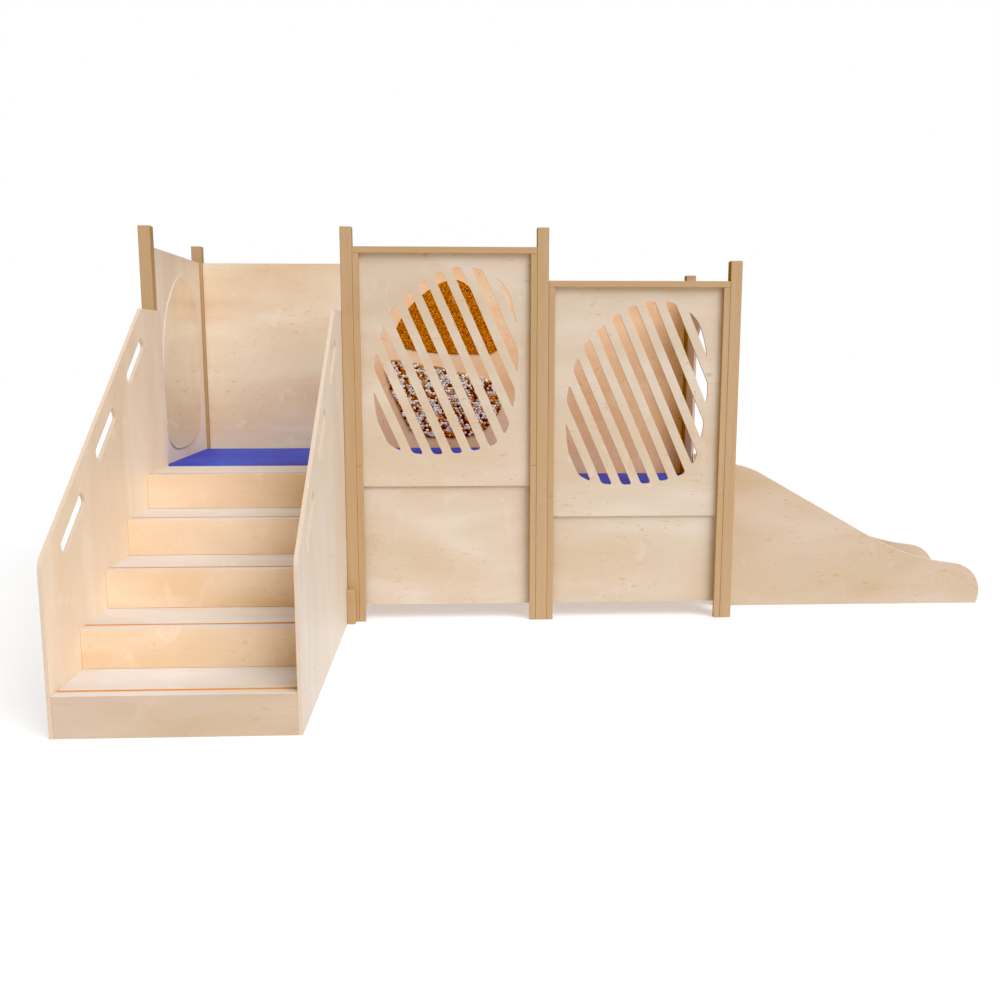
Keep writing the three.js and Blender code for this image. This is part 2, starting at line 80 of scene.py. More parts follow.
class Look:
    """A node material under construction, with short calls for the nodes that it needs."""

    def __init__(self, name, roughness=0.5, specular=0.4, coat=0.0, coat_roughness=0.3, metallic=0.0):
        self.material = bpy.data.materials.new(name)
        self.material.use_nodes = True
        self.tree = self.material.node_tree
        self.shader = self.tree.nodes["Principled BSDF"]
        self.shader.inputs["Roughness"].default_value = roughness
        self.shader.inputs["Specular IOR Level"].default_value = specular
        self.shader.inputs["Coat Weight"].default_value = coat
        self.shader.inputs["Coat Roughness"].default_value = coat_roughness
        self.shader.inputs["Metallic"].default_value = metallic

    def link(self, a, b):
        self.tree.links.new(a, b)

    def node(self, kind):
        return self.tree.nodes.new(kind)

    def attribute(self, name, output="Vector"):
        n = self.node("ShaderNodeAttribute")
        n.attribute_name = name
        return n.outputs[output]

    def scaled(self, vector, scale, turn=0.0):
        n = self.node("ShaderNodeMapping")
        n.inputs["Scale"].default_value = scale
        n.inputs["Rotation"].default_value = (0.0, 0.0, turn)
        self.link(vector, n.inputs["Vector"])
        return n.outputs["Vector"]

    def noise(self, vector, scale=1.0, detail=4.0, roughness=0.55, distortion=0.0):
        n = self.node("ShaderNodeTexNoise")
        n.inputs["Scale"].default_value = scale
        n.inputs["Detail"].default_value = detail
        n.inputs["Roughness"].default_value = roughness
        n.inputs["Distortion"].default_value = distortion
        self.link(vector, n.inputs["Vector"])
        return n.outputs["Fac"]

    def cells(self, vector, scale, output="Color"):
        n = self.node("ShaderNodeTexVoronoi")
        n.inputs["Scale"].default_value = scale
        self.link(vector, n.inputs["Vector"])
        return n.outputs[output]

    def ramp(self, fac, stops, constant=False):
        n = self.node("ShaderNodeValToRGB")
        ramp = n.color_ramp
        ramp.interpolation = "CONSTANT" if constant else "LINEAR"
        while len(ramp.elements) < len(stops):
            ramp.elements.new(1.0)
        for element, (place, value) in zip(ramp.elements, stops):
            element.position = place
            element.color = value if isinstance(value, tuple) else (value, value, value, 1.0)
        self.link(fac, n.inputs["Fac"])
        return n.outputs["Color"]

    def maths(self, operation, a, b=0.0):
        n = self.node("ShaderNodeMath")
        n.operation = operation
        for socket, value in zip(n.inputs, (a, b)):
            if isinstance(value, (int, float)):
                socket.default_value = value
            else:
                self.link(value, socket)
        return n.outputs["Value"]

    def mix(self, fac, a, b, blend="MIX"):
        n = self.node("ShaderNodeMix")
        n.data_type = "RGBA"
        n.blend_type = blend
        for socket, value in ((n.inputs[0], fac), (n.inputs[6], a), (n.inputs[7], b)):
            if isinstance(value, (int, float, tuple)):
                socket.default_value = value
            else:
                self.link(value, socket)
        return n.outputs[2]

    def part(self, vector, axis):
        n = self.node("ShaderNodeSeparateXYZ")
        self.link(vector, n.inputs["Vector"])
        return n.outputs["XYZ"[axis]]

    def colour(self, socket):
        self.link(socket, self.shader.inputs["Base Color"])

    def rough(self, fac, low, high):
        n = self.node("ShaderNodeMapRange")
        n.inputs["To Min"].default_value = low
        n.inputs["To Max"].default_value = high
        self.link(fac, n.inputs["Value"])
        self.link(n.outputs["Result"], self.shader.inputs["Roughness"])

    def bump(self, height, strength, distance):
        n = self.node("ShaderNodeBump")
        n.inputs["Strength"].default_value = strength
        n.inputs["Distance"].default_value = distance
        self.link(height, n.inputs["Height"])
        self.link(n.outputs["Normal"], self.shader.inputs["Normal"])


# ---------------------------------------------------------------- materials
def veneer_look(name, pale, base, warm, fleck, fleck_amount=1.0):
    """Rotary-cut birch face veneer: fine grain along u, small burl flecks and silky pale smudges."""
    look = Look(name, specular=0.3, coat=0.12, coat_roughness=0.35)
    grain = look.attribute("grain")
    broad = look.noise(look.scaled(grain, (1.6, 5.0, 1.0)), 1.0, 3.0, 0.5, 0.6)
    colour = look.ramp(broad, [(0.30, warm), (0.52, base), (0.74, pale)])
    fine = look.noise(look.scaled(grain, (9.0, 330.0, 40.0)), 1.0, 5.0, 0.6)
    lines = look.ramp(fine, [(0.25, 0.90), (0.55, 1.0), (0.8, 1.03)])
    colour = look.mix(0.55, colour, lines, "MULTIPLY")
    silk = look.noise(look.scaled(grain, (11.0, 7.0, 1.0), 0.6), 1.0, 4.0, 0.6, 1.2)
    silk_mask = look.ramp(silk, [(0.58, 0.0), (0.72, 0.55)])
    colour = look.mix(silk_mask, colour, pale)
    patches = look.noise(look.scaled(grain, (3.4, 4.4, 1.0)), 1.0, 2.0)
    cluster = look.ramp(patches, [(0.46, 0.0), (0.62, 1.0)])
    spot = look.noise(look.scaled(grain, (30.0, 64.0, 1.0)), 1.0, 2.0, 0.5, 0.2)
    spot_mask = look.ramp(spot, [(0.60, 0.0), (0.70, 0.65 * fleck_amount)])
    colour = look.mix(look.maths("MULTIPLY", spot_mask, cluster), colour, fleck)
    eye = look.ramp(look.noise(look.scaled(grain, (52.0, 84.0, 1.0)), 1.0, 1.0), [(0.74, 0.0), (0.80, 0.7)])
    colour = look.mix(look.maths("MULTIPLY", eye, fleck_amount), colour, srgb(176, 128, 86))
    look.colour(colour)
    look.rough(fine, 0.40, 0.56)
    look.bump(fine, 0.10, 0.0004)
    return look.material


def edge_look(name, light, dark):
    """Cut edge of the plywood: thin cross-banded plies, sanded and lacquered."""
    look = Look(name, specular=0.3)
    grain = look.attribute("grain")
    wobble = look.noise(look.scaled(grain, (30.0, 30.0, 200.0)), 1.0, 2.0)
    layer = look.maths("MULTIPLY", look.part(grain, Z), 1000.0 / 1.33 * math.pi)
    layer = look.maths("ADD", layer, look.maths("MULTIPLY", wobble, 0.8))
    band = look.maths("ADD", look.maths("MULTIPLY", look.maths("SINE", layer), 0.5), 0.5)
    colour = look.mix(look.ramp(band, [(0.25, 0.0), (0.6, 1.0)]), dark, light)
    speck = look.noise(look.scaled(grain, (260.0, 260.0, 900.0)), 1.0, 3.0, 0.7)
    colour = look.mix(look.ramp(speck, [(0.3, 0.35), (0.55, 0.0)]), colour, dark, "MULTIPLY")
    look.colour(colour)
    look.rough(band, 0.46, 0.62)
    look.bump(band, 0.18, 0.0003)
    return look.material


def timber_look(name, base, dark, line):
    """Planed hardwood with straight grain along u, finer and darker on its late wood."""
    look = Look(name, specular=0.3, coat=0.08, coat_roughness=0.4)
    grain = look.attribute("grain")
    sweep = look.noise(look.scaled(grain, (1.1, 26.0, 26.0)), 1.0, 4.0, 0.55, 0.5)
    colour = look.ramp(sweep, [(0.28, dark), (0.6, base)])
    pores = look.noise(look.scaled(grain, (14.0, 620.0, 620.0)), 1.0, 4.0, 0.65)
    colour = look.mix(look.ramp(pores, [(0.34, 0.30), (0.48, 0.0)]), colour, line)
    ray = look.noise(look.scaled(grain, (60.0, 210.0, 210.0)), 1.0, 2.0, 0.5)
    colour = look.mix(look.ramp(ray, [(0.66, 0.0), (0.76, 0.2)]), colour, srgb(206, 178, 144))
    look.colour(colour)
    look.rough(pores, 0.44, 0.60)
    look.bump(pores, 0.14, 0.0004)
    return look.material


def groove_shade_look():
    """Painted shade: the bare inner ply at the bottom of an anti-slip groove, coloured saturated orange for
    the shade inside the groove.
    """
    look = Look("groove_ply_painted_shade", specular=0.2)
    grain = look.attribute("grain")
    fine = look.noise(look.scaled(grain, (16.0, 500.0, 200.0)), 1.0, 4.0, 0.6)
    look.colour(look.ramp(fine, [(0.3, srgb(204, 138, 82)), (0.7, srgb(220, 158, 102))]))
    look.rough(fine, 0.6, 0.8)
    return look.material


def vinyl_look():
    """Blue vinyl mat cover with a fine pebbled emboss."""
    look = Look("mat_blue_vinyl", specular=0.08)
    grain = look.attribute("grain")
    cell = look.cells(grain, 620.0, "Distance")
    broad = look.noise(grain, 5.0, 3.0, 0.5)
    colour = look.ramp(broad, [(0.3, srgb(19, 73, 175)), (0.7, srgb(28, 91, 194))])
    colour = look.mix(look.ramp(cell, [(0.1, 0.22), (0.5, 0.0)]), colour, srgb(12, 41, 115))
    look.colour(colour)
    look.rough(look.noise(grain, 60.0, 3.0), 0.42, 0.58)
    look.bump(cell, 0.25, 0.0004)
    return look.material


def seam_look(name, a, b):
    """Twisted cord under the mat's cover."""
    look = Look(name, specular=0.3)
    twist = look.noise(look.scaled(look.attribute("grain"), (700.0, 700.0, 700.0)), 1.0, 2.0)
    look.colour(look.ramp(twist, [(0.35, a), (0.65, b)]))
    look.rough(twist, 0.45, 0.7)
    look.bump(twist, 0.3, 0.0004)
    return look.material


def mirror_look():
    """Acrylic safety mirror: silvered face with faint ripple."""
    look = Look("mirror_face", roughness=0.05, metallic=1.0)
    grain = look.attribute("grain")
    ripple = look.noise(grain, 6.0, 2.0)
    look.colour(look.ramp(ripple, [(0.3, srgb(228, 226, 224)), (0.7, srgb(238, 237, 236))]))
    look.rough(look.noise(grain, 40.0, 4.0), 0.02, 0.07)
    return look.material


def acrylic_edge_look():
    look = Look("mirror_edge", roughness=0.25, specular=0.5)
    fine = look.noise(look.attribute("grain"), 300.0, 3.0)
    look.colour(look.ramp(fine, [(0.3, srgb(214, 206, 196)), (0.7, srgb(236, 230, 222))]))
    look.rough(fine, 0.18, 0.32)
    return look.material


def cork_look():
    """Pressed cork granules, a few of them dark bark."""
    look = Look("cork_granules", specular=0.15)
    grain = look.attribute("grain")
    tone = look.part(look.cells(grain, 290.0), X)
    colour = look.ramp(tone, [
        (0.0, srgb(108, 59, 27)), (0.20, srgb(162, 91, 47)), (0.40, srgb(189, 113, 65)),
        (0.62, srgb(208, 130, 80)), (0.86, srgb(228, 156, 113)),
    ], constant=True)
    fine = look.noise(grain, 900.0, 3.0, 0.6)
    colour = look.mix(0.45, colour, look.ramp(fine, [(0.34, 0.5), (0.6, 1.08)]), "MULTIPLY")
    look.colour(colour)
    look.rough(fine, 0.8, 0.96)
    look.bump(fine, 0.4, 0.0008)
    return look.material


def pebble_look():
    """River pebbles: each takes its stone from its own tone, with veins and mottling."""
    look = Look("river_pebbles", specular=0.4)
    tone = look.attribute("tone", "Fac")
    grain = look.attribute("grain")
    stone = look.ramp(tone, [
        (0.0, srgb(241, 231, 225)), (0.24, srgb(213, 205, 199)), (0.42, srgb(249, 237, 225)),
        (0.52, srgb(188, 177, 169)), (0.62, srgb(211, 140, 103)), (0.74, srgb(180, 102, 74)),
        (0.82, srgb(131, 71, 54)), (0.90, srgb(98, 53, 46)), (0.96, srgb(72, 47, 46)),
    ], constant=True)
    mottle = look.noise(grain, 220.0, 4.0, 0.65, 0.4)
    stone = look.mix(0.5, stone, look.ramp(mottle, [(0.3, 0.72), (0.65, 1.08)]), "MULTIPLY")
    look.colour(stone)
    look.rough(mottle, 0.35, 0.65)
    look.bump(mottle, 0.25, 0.0008)
    return look.material


def grout_look():
    look = Look("pebble_bed", specular=0.1)
    fine = look.noise(look.attribute("grain"), 500.0, 4.0, 0.7)
    look.colour(look.ramp(fine, [(0.3, srgb(140, 108, 92)), (0.7, srgb(190, 160, 140))]))
    look.rough(fine, 0.8, 0.95)
    look.bump(fine, 0.5, 0.001)
    return look.material


def steel_look():
    """Zinc-plated screw heads, brushed by the driver."""
    look = Look("screw_zinc", metallic=1.0)
    fine = look.noise(look.attribute("grain"), 1500.0, 3.0, 0.6)
    look.colour(look.ramp(fine, [(0.3, srgb(150, 146, 142)), (0.7, srgb(206, 202, 196))]))
    look.rough(fine, 0.25, 0.5)
    return look.material


# Painted shade: the cross recess of a zinc screw head is coloured dark grey, as the shade inside it.
def recess_shade_look():
    look = Look("screw_recess_painted_shade", specular=0.2)
    fine = look.noise(look.attribute("grain"), 1200.0, 3.0, 0.6)
    look.colour(look.ramp(fine, [(0.3, srgb(58, 54, 52)), (0.7, srgb(96, 90, 86))]))
    look.rough(fine, 0.5, 0.7)
    return look.material


FRONT_VENEER = veneer_look(
    "birch_face", srgb(211, 197, 184), srgb(204, 187, 170), srgb(199, 179, 157), srgb(195, 155, 114))
# Painted shade: the slide's near side and bed take a darker copy of the front veneer.
SHADED_SLIDE_VENEER = veneer_look(
    "birch_slide_painted_shade", srgb(205, 187, 173), srgb(198, 178, 159), srgb(193, 170, 147), srgb(189, 148, 106))
# Riser and tread are copies of one veneer. The riser is warmer, and the tread paler and bluer as painted
# top light.
RISER_VENEER = veneer_look(
    "birch_riser", srgb(244, 220, 195), srgb(235, 208, 182), srgb(229, 198, 166), srgb(220, 172, 125), 0.5)
# Painted shade: the lowest riser takes a darker copy of the riser veneer.
SHADED_FIRST_RISER_VENEER = veneer_look(
    "birch_first_riser_painted_shade", srgb(204, 185, 166), srgb(196, 175, 156),
    srgb(191, 166, 142), srgb(183, 144, 106), 0.5)
# Painted light: the treads take a paler, bluer copy of the riser veneer.
LIT_TREAD_VENEER = veneer_look(
    "birch_tread_painted_top_light", srgb(221, 216, 216), srgb(213, 205, 200), srgb(207, 195, 183), srgb(199, 170, 139), 0.4)
SIDE_VENEER = veneer_look(
    "birch_side", srgb(245, 229, 211), srgb(238, 219, 199), srgb(233, 211, 188), srgb(227, 193, 160), 0.25)
# Painted shade: the right stair side takes a darker, greyer copy of the side veneer.
SHADED_RIGHT_SIDE_VENEER = veneer_look(
    "birch_right_side_painted_shade", srgb(220, 209, 203), srgb(214, 202, 190),
    srgb(209, 195, 180), srgb(204, 178, 153), 0.25)
# Painted shade: the bays' inner rear walls and the decks take a warmer, more orange copy of the veneer for
# the shade inside the bays. Bay 1's wall takes a paler copy, painted light.
SHADED_BACK_VENEER = veneer_look(
    "birch_back_painted_shade", srgb(250, 218, 186), srgb(248, 204, 168), srgb(242, 192, 154), srgb(231, 165, 113), 1.1)
LIT_STAIR_BACK_VENEER = veneer_look(
    "birch_back_painted_light", srgb(244, 228, 204), srgb(237, 214, 186),
    srgb(231, 201, 170), srgb(221, 173, 125), 0.8)
PLY_EDGE = edge_look("birch_ply_edge", srgb(222, 206, 192), srgb(200, 174, 152))
POST_WOOD = timber_look(
    "post_hardwood", srgb(183, 155, 128), srgb(177, 148, 118), srgb(151, 119, 88))
GROOVE = groove_shade_look()
VINYL = vinyl_look()
WELT = seam_look("mat_welt", srgb(34, 48, 132), srgb(50, 66, 158))
MIRROR = mirror_look()
MIRROR_EDGE = acrylic_edge_look()
CORK = cork_look()
PEBBLES = pebble_look()
PEBBLE_BED = grout_look()
STEEL = steel_look()
RECESS_SHADE = recess_shade_look()


# ---------------------------------------------------------------- mesh helpers
shifts = random.Random(11)


def new_piece(name, mesh, looks, replaces=()):
    """Links a mesh as a piece that rides on the loft."""
    for look in looks:
        mesh.materials.append(look)
    piece = bpy.data.objects.new(name, mesh)
    bpy.context.scene.collection.objects.link(piece)
    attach(piece, "root")
    if replaces:
        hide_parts(*replaces)
    return piece


def write_grain(mesh, axes, start=0.0, shift=None, unrolled=False):
    """Stores each vertex's place along the grain, across it and into the thickness.

    Unrolled runs the second of these up the risers and on along the treads.
    """
    if shift is None:
        shift = (shifts.uniform(0, 40), shifts.uniform(0, 40))
    u, v, w = axes
    values = []
    for vertex in mesh.vertices:
        across = vertex.co[v] + (vertex.co[w] if unrolled else 0.0)
        values += (vertex.co[u] + shift[0], across + shift[1], vertex.co[w] - start)
    store = mesh.attributes.new("grain", "FLOAT_VECTOR", "POINT")
    store.data.foreach_set("vector", values)


def cad_bmesh(node):
    """The CAD solid as clean polygons."""
    bm = bmesh.new()
    bm.from_mesh(NODES[node].data)
    bmesh.ops.remove_doubles(bm, verts=bm.verts[:], dist=1e-6)
    bmesh.ops.dissolve_limit(bm, angle_limit=math.radians(0.3), verts=bm.verts[:], edges=bm.edges[:])
    return bm


def ease_edges(bm, width, least=50.0, segments=2):
    sharp = [e for e in bm.edges if e.is_manifold and e.calc_face_angle() > math.radians(least)]
    bmesh.ops.bevel(
        bm, geom=sharp, offset=width, offset_type="OFFSET", segments=segments,
        profile=0.5, affect="EDGES", clamp_overlap=True,
    )


def smooth_by_angle(mesh, angle=32.0):
    """Smooth shading except across edges sharper than angle, in degrees."""
    for polygon in mesh.polygons:
        polygon.use_smooth = True
    mesh.set_sharp_from_angle(angle=math.radians(angle))


def weigh_normals(piece):
    """Lets the large flat faces set the shading, so that only the eased edges look rounded."""
    weigh = piece.modifiers.new("even_shading", "WEIGHTED_NORMAL")
    weigh.mode = "FACE_AREA"
    weigh.weight = 100
    weigh.keep_sharp = True
    return piece


def sheet_piece(node, axes, face, name=None, ease=0.9 * MM, curved=False, extra=None,
                unrolled=False):
    """Plywood: veneer on the two faces, cut plies round the edge, every edge eased.

    Extra may give some faces another look. On a curved board every side but the two that face
    along Y counts as a face.
    """
    low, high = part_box(node)
    bm = cad_bmesh(node)
    ease_edges(bm, ease)
    for f in bm.faces:
        is_face = abs(f.normal[Y]) < 0.6 if curved else abs(f.normal[axes[2]]) > 0.97
        f.material_index = 0 if is_face else 1
    looks = [face, PLY_EDGE]
    if extra:
        extra(bm, looks)
    mesh = bpy.data.meshes.new(name or f"{node}_panel")
    bm.to_mesh(mesh)
    bm.free()
    smooth_by_angle(mesh, 50.0)
    write_grain(mesh, axes, low[axes[2]], unrolled=unrolled)
    return weigh_normals(new_piece(mesh.name, mesh, looks, (node,)))


def block(bm, low, high, ease=1.6 * MM, segments=3):
    """Adds one eased rectangular member to bm."""
    low, high = Vector(low), Vector(high)
    made = bmesh.ops.create_cube(bm, size=1.0)["verts"]
    for vertex in made:
        vertex.co = Vector(low[i] + (vertex.co[i] + 0.5) * (high[i] - low[i]) for i in range(3))
    edges = list({e for v in made for e in v.link_edges})
    bmesh.ops.bevel(
        bm, geom=edges, offset=ease, offset_type="OFFSET", segments=segments,
        profile=0.5, affect="EDGES", clamp_overlap=True,
    )


def timber_piece(name, nodes, boxes, along, ease=1.6 * MM):
    """Planed members, one for each box, with rounded arrises and grain along one axis."""
    bm = bmesh.new()
    for low, high in boxes:
        block(bm, low, high, ease)
    mesh = bpy.data.meshes.new(name)
    bm.to_mesh(mesh)
    bm.free()
    smooth_by_angle(mesh, 50.0)
    across = [axis for axis in (X, Y, Z) if axis != along]
    write_grain(mesh, (along, across[0], across[1]))
    return weigh_normals(new_piece(name, mesh, [POST_WOOD], nodes))


def screw_heads(name, places, normal, radius=4.2 * MM, proud=0.25 * MM):
    """Countersunk screw heads with a cross recess, set at places and facing along normal."""
    normal = Vector(normal).normalized()
    turner = random.Random(len(name) * 7 + len(places))
    arm, reach, depth = 0.17 * radius, 0.62 * radius, 0.9 * MM
    bm = bmesh.new()
    for place in places:
        spin = turner.uniform(0, math.pi / 2)
        frame_of = Matrix.Translation(place) @ normal.to_track_quat("Z", "Y").to_matrix().to_4x4()
        frame_of = frame_of @ Matrix.Rotation(spin, 4, "Z")
        at = lambda x, y, z: bm.verts.new(frame_of @ Vector((x, y, z)))
        ring = [(math.cos(a), math.sin(a)) for a in (2 * math.pi * k / 24 for k in range(24))]
        foot = [at(c * radius, s * radius, -depth) for c, s in ring]
        shoulder = [at(c * radius, s * radius, proud * 0.4) for c, s in ring]
        crown = [at(c * radius * 0.93, s * radius * 0.93, proud) for c, s in ring]
        cross = []
        for quarter in range(4):
            turn = Matrix.Rotation(quarter * math.pi / 2, 2)
            for x, y in ((reach, -arm), (reach, arm), (arm, arm)):
                cross.append(turn @ Vector((x, y)))
        rim = [at(p.x, p.y, proud) for p in cross]
        floor_of = [at(p.x * 0.8, p.y * 0.8, proud - depth) for p in cross]
        for a, b in ((foot, shoulder), (shoulder, crown)):
            for k in range(24):
                bm.faces.new((a[k], a[(k + 1) % 24], b[(k + 1) % 24], b[k]))
        # The recess walls and floor take the painted shade.
        for k in range(12):
            wall = bm.faces.new((rim[k], rim[(k + 1) % 12], floor_of[(k + 1) % 12], floor_of[k]))
            wall.material_index = 1
        bm.faces.new(floor_of).material_index = 1
        bm.faces.new(list(reversed(foot)))
        loops = [
            bm.edges.get((loop[k], loop[(k + 1) % len(loop)]))
            for loop in (crown, rim) for k in range(len(loop))
        ]
        bmesh.ops.triangle_fill(bm, use_beauty=True, use_dissolve=False, edges=loops)
    bmesh.ops.recalc_face_normals(bm, faces=bm.faces[:])
    mesh = bpy.data.meshes.new(name)
    bm.to_mesh(mesh)
    bm.free()
    smooth_by_angle(mesh, angle=28.0)
    write_grain(mesh, (X, Z, Y))
    return new_piece(name, mesh, [STEEL, RECESS_SHADE])


# ---------------------------------------------------------------- posts, rails and battens
GAP = 0.3 * MM
HIGH_JOINT = 0.627
LOW_JOINT = 0.503
POST_EASE = 2.4 * MM
BATTEN_EASE = 1.2 * MM
BLOCK_EASE = 2.0 * MM

for row in ("front", "rear"):
    for i in range(1, 5):
        node = f"post_{row}_{i}"
        timber_piece(f"post_{row}_{i}_eased", (node,), [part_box(node)], Z, POST_EASE)

for node in ("front_rail_2", "front_rail_3", "rear_rail_1", "rear_rail_2", "rear_rail_3"):
    timber_piece(f"{node}_eased", (node,), [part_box(node)], X, BATTEN_EASE)
for node in ("left_rail", "right_rail", "slide_toe_rail"):
    timber_piece(f"{node}_eased", (node,), [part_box(node)], Y, BATTEN_EASE)


def split_batten(node, joint):
    """A batten in two lengths that butt at floor level."""
    low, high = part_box(node)
    lower = (low, Vector((high.x, high.y, joint - GAP)))
    upper = (Vector((low.x, low.y, joint + GAP)), high)
    timber_piece(f"{node}_eased", (node,), [lower, upper], Z, BATTEN_EASE)


for bay, joint in ((1, HIGH_JOINT), (2, HIGH_JOINT), (3, LOW_JOINT)):
    for side in ("left", "right"):
        split_batten(f"rear_batten_{bay}_{side}", joint)
        if bay > 1:
            split_batten(f"front_batten_{bay}_{side}", joint)
for end, joint in (("left", HIGH_JOINT), ("right", LOW_JOINT)):
    for side in ("front", "rear"):
        split_batten(f"{end}_batten_{side}", joint)

for side in ("left", "right"):
    node = f"fixing_block_{side}"
    timber_piece(f"{node}_eased", (node,), [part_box(node)], Z, BLOCK_EASE)

# ---------------------------------------------------------------- plywood walls and floors
for bay in (2, 3):
    sheet_piece(f"window_panel_{bay}", (X, Z, Y), FRONT_VENEER)
    sheet_piece(f"lower_panel_{bay}", (X, Z, Y), FRONT_VENEER)


def mark_outside(bm, looks):
    """The outer faces of the rear walls all take the same sheet; the inner faces take copies with painted
    shade and painted light.
    """
    looks.append(FRONT_VENEER)
    for f in bm.faces:
        if f.normal.y > 0.97:
            f.material_index = 2


# Inside bays 2 and 3 the rear walls wear the painted shade, and bay 1's wall behind the steps the painted
# light.
for bay, inner_face in ((1, LIT_STAIR_BACK_VENEER), (2, SHADED_BACK_VENEER), (3, SHADED_BACK_VENEER)):
    sheet_piece(f"rear_wall_{bay}", (X, Z, Y), inner_face, extra=mark_outside)
sheet_piece("left_wall", (Z, Y, X), SIDE_VENEER)
sheet_piece("doorway_wall", (Z, Y, X), SIDE_VENEER)
# The decks wear the painted shade too.
for node in ("deck_high", "deck_low"):
    sheet_piece(node, (X, Y, Z), SHADED_BACK_VENEER)
sheet_piece("deck_step_board", (Y, Z, X), RISER_VENEER)

# ---------------------------------------------------------------- steps
# The right stair side wears the darker copy as painted shade.
for side, face in (("left", SIDE_VENEER), ("right", SHADED_RIGHT_SIDE_VENEER)):
    sheet_piece(f"stair_side_{side}", (Z, Y, X), face, ease=1.6 * MM)


# The groove lies between these distances behind the riser's front and below the tread's top.
GROOVE_NEAR, GROOVE_FAR = 33 * MM, 49 * MM
GROOVE_SHALLOW, GROOVE_DEEP = 0.5 * MM, 6 * MM


def step_piece(i):
    """Riser and tread, with the tread in painted top light and painted shade on the bare ply in the groove
    behind the front edge.
    """
    node = f"step_{i}"
    low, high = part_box(node)

    def mark_groove(bm, looks):
        # The groove's ply takes the painted shade and the tread the painted top light.
        looks += [GROOVE, LIT_TREAD_VENEER]
        for f in bm.faces:
            middle = f.calc_center_median()
            behind = middle.y - low.y
            below = high.z - middle.z
            if GROOVE_NEAR < behind < GROOVE_FAR and GROOVE_SHALLOW < below < GROOVE_DEEP:
                f.material_index = 2
            elif abs(f.normal.x) < 0.5:
                f.material_index = 3 if abs(f.normal.z) > 0.7 else 0

    # The lowest riser wears the darker copy, as painted shade.
    face = SHADED_FIRST_RISER_VENEER if i == 1 else RISER_VENEER
    return sheet_piece(
        node, (X, Z, Y), face, f"step_{i}_board", 0.8 * MM,
        curved=True, extra=mark_groove, unrolled=True)


for step in range(1, 6):
    step_piece(step)

# ---------------------------------------------------------------- slide
# Painted shade and light: the near side wears the darker slide copy, the far side the paler front veneer so
# that it reads as lit.
for side, face in (("near", SHADED_SLIDE_VENEER), ("far", FRONT_VENEER)):
    sheet_piece(f"slide_side_{side}", (X, Z, Y), face, ease=1.8 * MM)
sheet_piece("slide_bed", (X, Y, Z), SHADED_SLIDE_VENEER, ease=1.0 * MM, curved=True)


# ---------------------------------------------------------------- mats
MAT_CUTS = 56
MAT_SIDE_CUTS = 5
MAT_SHY = 0.8 * MM
MAT_CORNER = 7.0 * MM
MAT_CROWN = 2.4 * MM
MAT_TUCK = 1.2 * MM
MAT_WAVE = 0.7 * MM
WELT_RADIUS = 1.3 * MM
WELT_INSET = 1.9 * MM
WELT_DROP = 1.4 * MM
ON_RIM = 0.999


def mat_piece(i):
    """A vinyl-covered foam mat: crowned top, sides that pull in at mid height, welted seams."""
    node = f"mat_{i}"
    low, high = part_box(node)
    centre = (low + high) / 2
    half = (high - low) / 2 - Vector((MAT_SHY, MAT_SHY, 0.0))
    bm = bmesh.new()
    bmesh.ops.create_cube(bm, size=2.0)
    flat_edges = [e for e in bm.edges if abs(e.verts[0].co.z - e.verts[1].co.z) < 1e-6]
    bmesh.ops.subdivide_edges(bm, edges=flat_edges, cuts=MAT_CUTS, use_grid_fill=True)
    upright = [e for e in bm.edges if abs(e.verts[0].co.z - e.verts[1].co.z) > 1e-3]
    bmesh.ops.subdivide_edges(bm, edges=upright, cuts=MAT_SIDE_CUTS, use_grid_fill=True)
    for v in bm.verts:
        s, t, k = v.co
        x, y, z = s * half.x, t * half.y, k * half.z
        inner = Vector((half.x - MAT_CORNER, half.y - MAT_CORNER))
        corner = Vector((max(abs(x) - inner.x, 0.0), max(abs(y) - inner.y, 0.0)))
        if corner.x > 0 and corner.y > 0 and corner.length > MAT_CORNER:
            corner = corner.normalized() * MAT_CORNER
            x = math.copysign(inner.x + corner.x, x)
            y = math.copysign(inner.y + corner.y, y)
        tuck = MAT_TUCK * (1 - k * k)
        x -= math.copysign(tuck, x) if abs(s) > ON_RIM else 0.0
        y -= math.copysign(tuck, y) if abs(t) > ON_RIM else 0.0
        if k > ON_RIM:
            z -= MAT_CROWN * max(abs(s) ** 10, abs(t) ** 10)
            z -= MAT_WAVE * (0.5 + 0.5 * noise.noise(Vector((x * 6, y * 6, i * 9.0))))
        v.co = centre + Vector((x, y, z))
    mesh = bpy.data.meshes.new(f"mat_{i}_cover")
    bm.to_mesh(mesh)
    bm.free()
    smooth_by_angle(mesh, angle=50.0)
    write_grain(mesh, (X, Y, Z))
    piece = new_piece(mesh.name, mesh, [VINYL], (node,))
    # A welt runs round the top edge.
    welt_z = high.z - MAT_CROWN - WELT_DROP
    ring = rounded_ring(centre, half.x - WELT_INSET, half.y - WELT_INSET, MAT_CORNER, welt_z)
    tube_piece(f"mat_{i}_welt", ring, WELT_RADIUS, WELT)


def rounded_ring(centre, half_x, half_y, radius, z, per_corner=6):
    points = []
    for quarter, (sx, sy) in enumerate(((1, 1), (-1, 1), (-1, -1), (1, -1))):
        for k in range(per_corner + 1):
            angle = math.pi / 2 * (quarter + k / per_corner)
            points.append(Vector((
                centre.x + sx * (half_x - radius) + radius * math.cos(angle),
                centre.y + sy * (half_y - radius) + radius * math.sin(angle),
                z,
            )))
    return points


